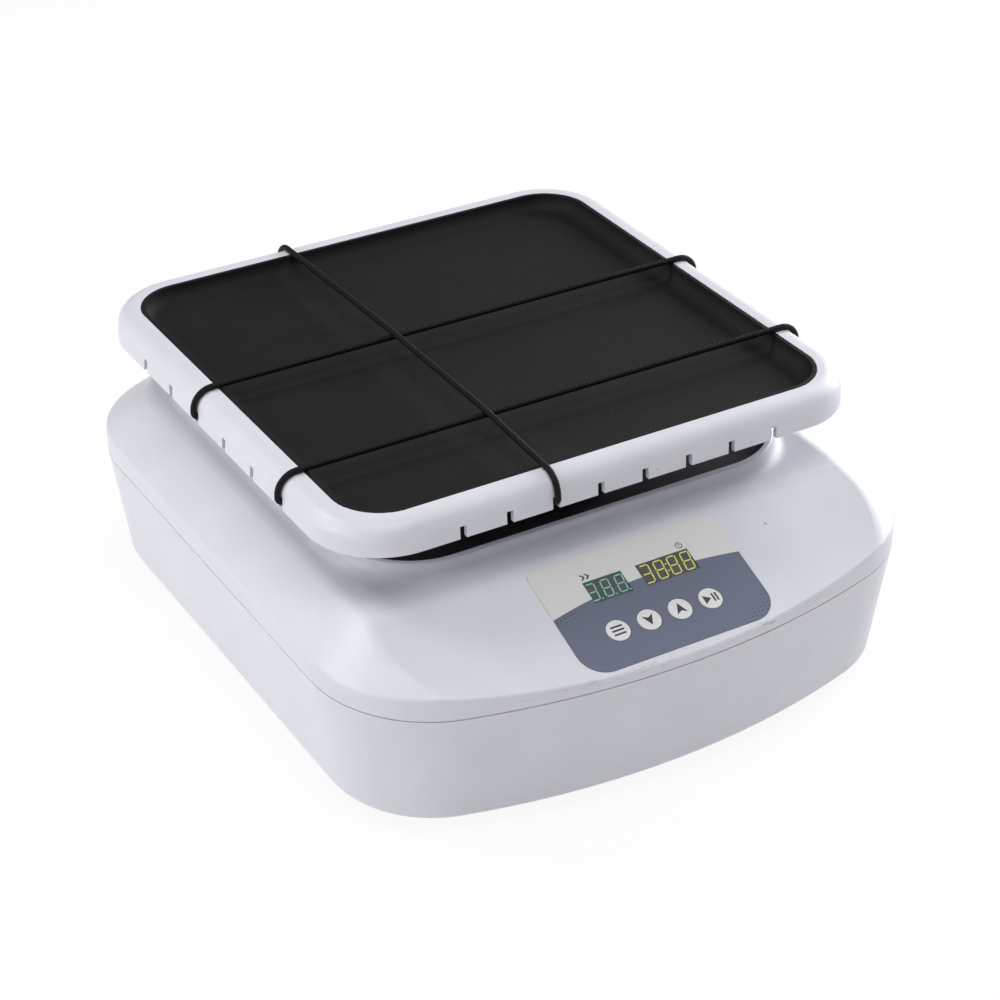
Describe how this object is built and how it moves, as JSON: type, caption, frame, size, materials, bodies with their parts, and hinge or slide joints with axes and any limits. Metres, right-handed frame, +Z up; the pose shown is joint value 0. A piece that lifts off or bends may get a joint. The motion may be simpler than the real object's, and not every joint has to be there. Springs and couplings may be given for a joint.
{
  "type": "rocking platform shaker",
  "caption": "Rocking platform shaker: a rubber-matted tray with notched skirt and elastic cords tilts on a crank-driven shaft over a base with a sloping control panel.",
  "frame": {"origin": "middle of the base outline, on the surface that the feet stand on", "axes": "+Z up, +X to the operator's right, -Y towards the operator and the control panel"},
  "size_m": [0.31, 0.3544, 0.1533],
  "materials": {
    "white_shell": "moulded ABS, satin",
    "white_tray": "moulded ABS, satin",
    "black_rubber": "moulded, matt",
    "elastic": "round elastic cord",
    "panel_film": "printed polyester film",
    "display_lens": "smoked display face",
    "white_key": "moulded key cap",
    "black_plastic": "moulded",
    "circuit_board": "solder resist",
    "screw_steel": "zinc plated",
    "black_metal": "black powder coat",
    "zinc_steel": "zinc plated sheet",
    "cast_alloy": "die cast",
    "bronze": "sintered bronze and brass",
    "copper_winding": "taped winding on a core",
    "capacitor_can": "sleeved can",
    "shaft_steel": "ground"
  },
  "bodies": {
    "base": {"lower_shell": "white_shell", "top_cover": "white_shell", "control_label": "panel_film", "speed_display": "display_lens", "time_display": "display_lens", "key_switches": "black_plastic", "control_board": "circuit_board", "board_screws": "screw_steel", "well_plate": "black_metal", "well_screws": "screw_steel", "chassis_plate": "zinc_steel", "chassis_screws": "screw_steel", "pedestal_front": "cast_alloy", "pedestal_rear": "cast_alloy", "bush_front": "bronze", "bush_rear": "bronze", "pedestal_screws": "screw_steel", "motor_bracket": "zinc_steel", "gearbox_screws": "screw_steel", "bracket_screws": "screw_steel", "gearbox": "cast_alloy", "motor": "black_metal", "power_board": "circuit_board", "power_screws": "screw_steel", "transformer": "copper_winding", "capacitors": "capacitor_can", "power_inlet": "black_plastic", "inlet_pins": "bronze", "inlet_screws": "screw_steel", "switch_housing": "black_plastic", "feet": "black_rubber", "foot_screws": "screw_steel", "case_screws": "screw_steel"},
    "platform": {"pivot_shaft": "shaft_steel", "rocker_fork": "cast_alloy", "shaft_hubs": "shaft_steel", "shaft_collars": "shaft_steel", "platform_frame": "black_metal", "tray": "white_tray", "tray_screws": "screw_steel", "mat": "black_rubber", "cord_long": "elastic", "cord_cross_front": "elastic", "cord_cross_rear": "elastic"},
    "crank": {"output_shaft": "shaft_steel", "crank_disc": "shaft_steel", "crank_pin": "shaft_steel", "crank_roller": "bronze"},
    "menu_key_body": {"menu_key": "white_key"},
    "down_key_body": {"down_key": "white_key"},
    "up_key_body": {"up_key": "white_key"},
    "start_key_body": {"start_key": "white_key"},
    "power_switch": {"switch_rocker": "black_plastic"}
  },
  "joints": [
    {"name": "platform_rock", "type": "hinge", "parent": "base", "child": "platform", "pos_m": [0, 0.02225, 0.116], "axis": [0, 1, 0], "range_deg": [-8, 8]},
    {"name": "crank_spin", "type": "hinge", "parent": "base", "child": "crank", "pos_m": [0, -0.02975, 0.068], "axis": [0, 1, 0], "range_deg": [-90, 90]},
    {"name": "menu_key_press", "type": "slide", "parent": "base", "child": "menu_key_body", "axis": [0, 0.3584, -0.9336], "range_m": [0, 0.0008], "stiffness_N_per_m": 2000},
    {"name": "down_key_press", "type": "slide", "parent": "base", "child": "down_key_body", "axis": [0, 0.3584, -0.9336], "range_m": [0, 0.0008], "stiffness_N_per_m": 2000},
    {"name": "up_key_press", "type": "slide", "parent": "base", "child": "up_key_body", "axis": [0, 0.3584, -0.9336], "range_m": [0, 0.0008], "stiffness_N_per_m": 2000},
    {"name": "start_key_press", "type": "slide", "parent": "base", "child": "start_key_body", "axis": [0, 0.3584, -0.9336], "range_m": [0, 0.0008], "stiffness_N_per_m": 2000},
    {"name": "power_switch_rock", "type": "hinge", "parent": "base", "child": "power_switch", "pos_m": [0.028, 0.1675, 0.042], "axis": [-1, 0, 0], "range_deg": [0, 20]}
  ],
  "couplings": [
    {"joint": "crank_spin", "follows": "platform_rock", "ratio": 11.25}
  ]
}
